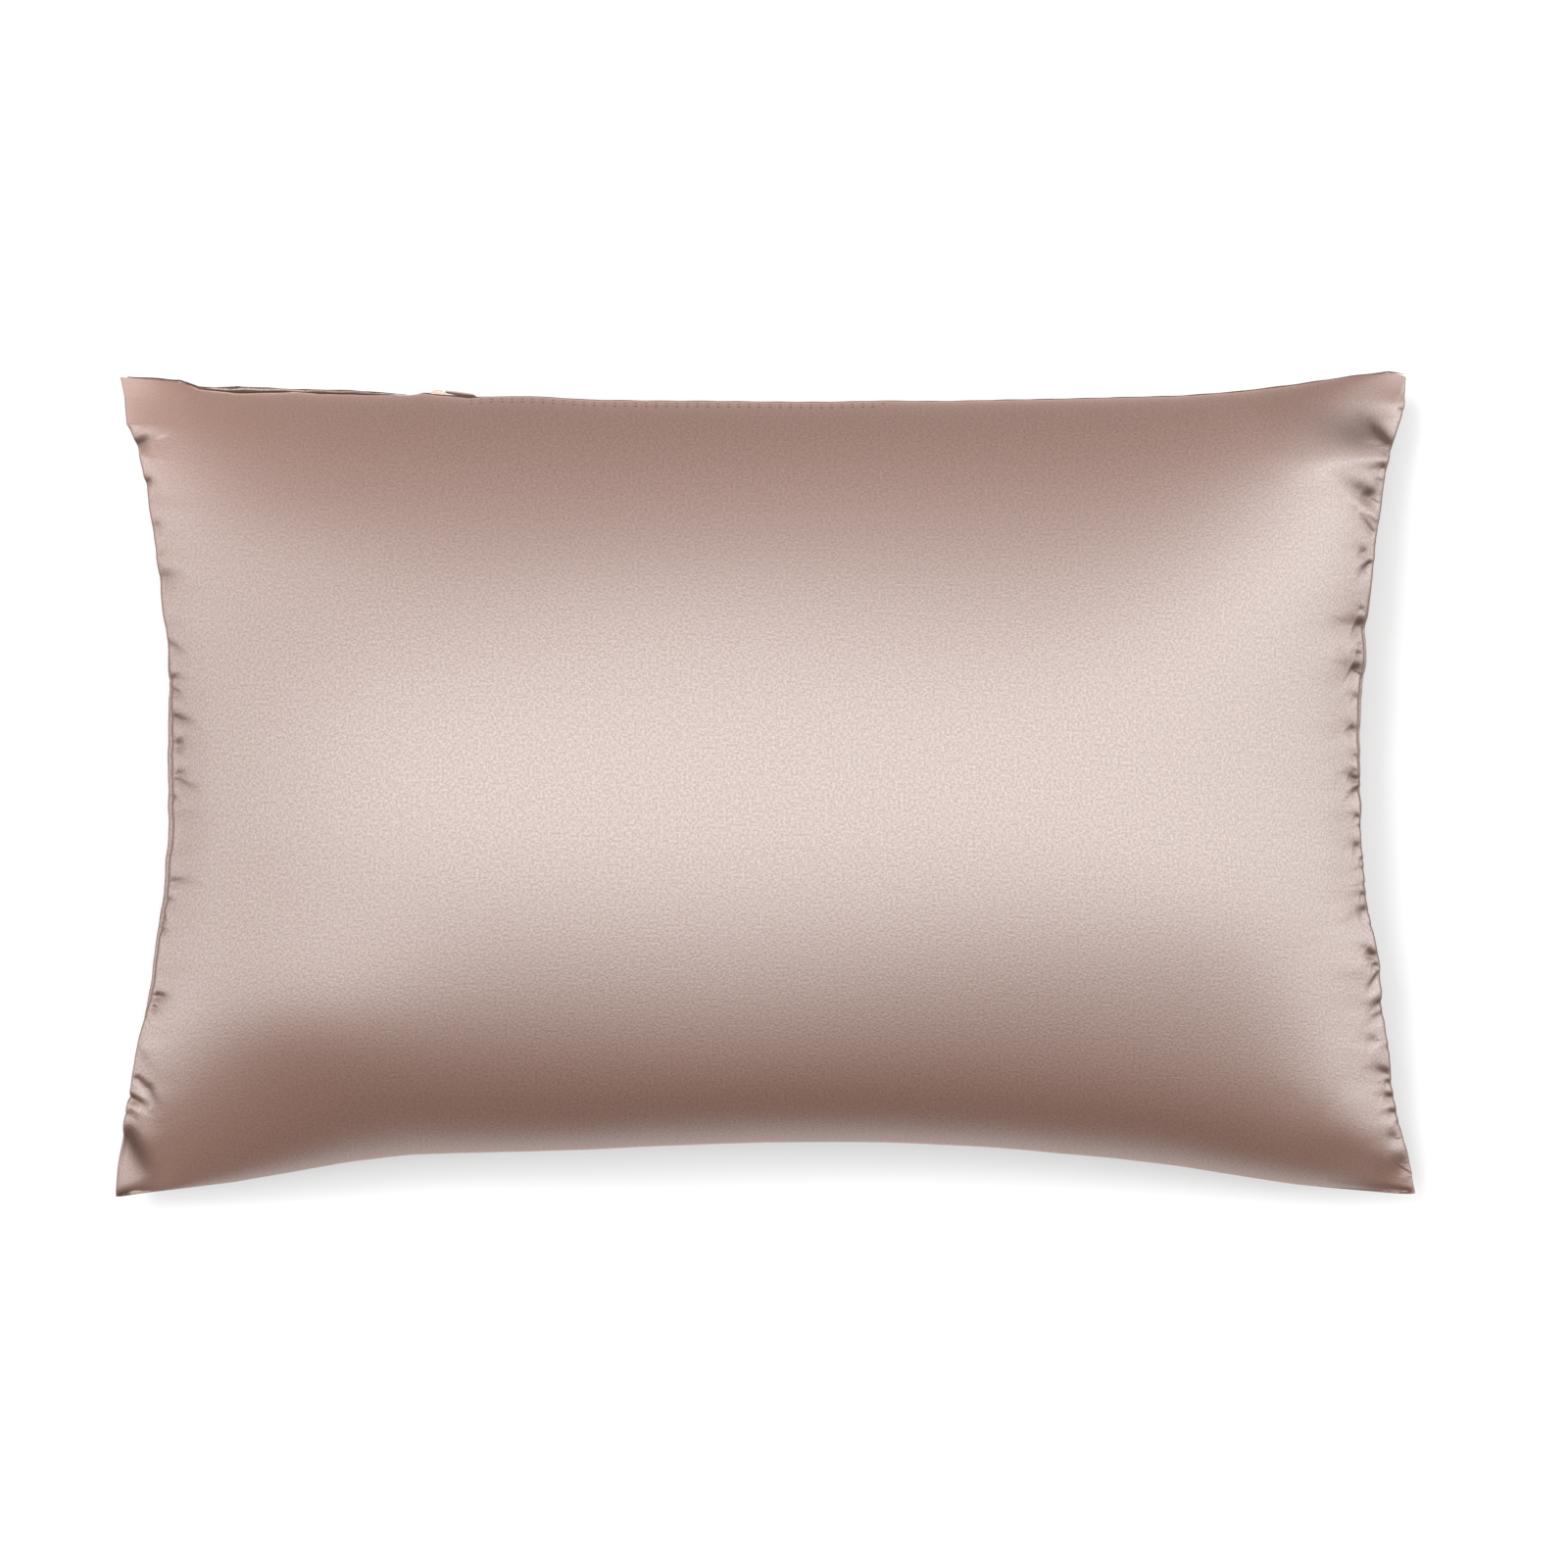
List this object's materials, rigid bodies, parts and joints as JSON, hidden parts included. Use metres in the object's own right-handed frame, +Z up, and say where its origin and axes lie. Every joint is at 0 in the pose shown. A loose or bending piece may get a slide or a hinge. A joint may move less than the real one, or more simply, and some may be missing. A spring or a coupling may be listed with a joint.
{
  "type": "filled pillowcase",
  "caption": "Satin pillowcase on a plump pillow, lying on its back, with drawn-in sides, gathered side seams and a concealed zip in one long side.",
  "frame": {"origin": "on the resting face, under the middle of the case", "axes": "+X along the long sides, +Y to the long side that holds the zip, +Z up through the crown"},
  "size_m": [0.7404, 0.4682, 0.1462],
  "materials": {
    "satin": "rose-taupe satin weave with a soft wide sheen, sewn with thread of the same colour",
    "zip_metal": "zip slider and pull lacquered pale rose, lightly glossy"
  },
  "bodies": {
    "root": {"case": "satin", "zip_slider": "zip_metal", "zip_pull": "zip_metal"}
  },
  "joints": []
}
